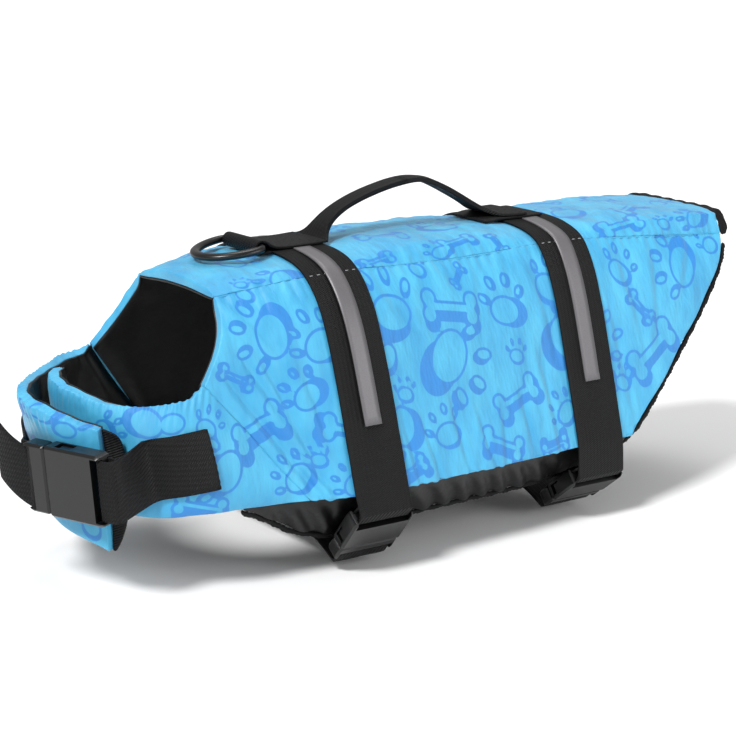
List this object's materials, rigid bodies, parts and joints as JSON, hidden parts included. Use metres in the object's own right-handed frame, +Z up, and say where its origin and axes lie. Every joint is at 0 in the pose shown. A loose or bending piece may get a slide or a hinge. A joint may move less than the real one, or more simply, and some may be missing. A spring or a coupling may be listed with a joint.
{
  "type": "dog life jacket",
  "caption": "Padded dog life jacket in worn shape: foam back and side panels, wrap-round chest flaps, buckled belly and chest straps, grab handle and leash ring.",
  "frame": {"origin": "underside of the back lining on the middle line, midway between the two belly straps, where the jacket lies on the wearer's back", "axes": "+X towards the tail end, +Z up, -Y the wearer's left side"},
  "size_m": [0.5309, 0.2199, 0.2191],
  "materials": {
    "printed_cloth": "woven polyester, satin, printed",
    "black_lining": "matte woven",
    "elastic_edge": "gathered, matte",
    "webbing": "matte ribbed webbing",
    "reflective_tape": "satin reflective",
    "moulded_plastic": "fine matte"
  },
  "bodies": {
    "jacket": {"back_panel": "printed_cloth", "back_lining": "black_lining", "side_panel_left": "printed_cloth", "side_lining_left": "black_lining", "side_panel_right": "printed_cloth", "side_lining_right": "black_lining", "chest_flap_left": "printed_cloth", "chest_lining_left": "black_lining", "chest_flap_right": "printed_cloth", "chest_lining_right": "black_lining", "flap_fastener": "webbing", "belly_flap_left": "black_lining", "edge_binding_left": "elastic_edge", "belly_flap_right": "black_lining", "edge_binding_right": "elastic_edge", "tail_binding": "elastic_edge", "belly_strap_front": "webbing", "belly_strap_rear": "webbing", "tape_front_left": "reflective_tape", "tape_front_right": "reflective_tape", "tape_rear_left": "reflective_tape", "tape_rear_right": "reflective_tape", "ring_tab": "webbing", "rear_patch": "webbing", "handle": "webbing", "belly_buckle_socket_front": "moulded_plastic", "belly_buckle_plug_front": "moulded_plastic", "belly_buckle_socket_rear": "moulded_plastic", "belly_buckle_plug_rear": "moulded_plastic", "chest_buckle_socket": "moulded_plastic", "chest_buckle_plug": "moulded_plastic", "chest_strap_left": "webbing", "chest_strap_right": "webbing"},
    "ring": {"leash_ring": "moulded_plastic"}
  },
  "joints": [
    {"name": "ring_hinge", "type": "hinge", "parent": "jacket", "child": "ring", "pos_m": [-0.118, 0, 0.0129], "axis": [0, 1, 0], "range_deg": [0, 160]}
  ]
}
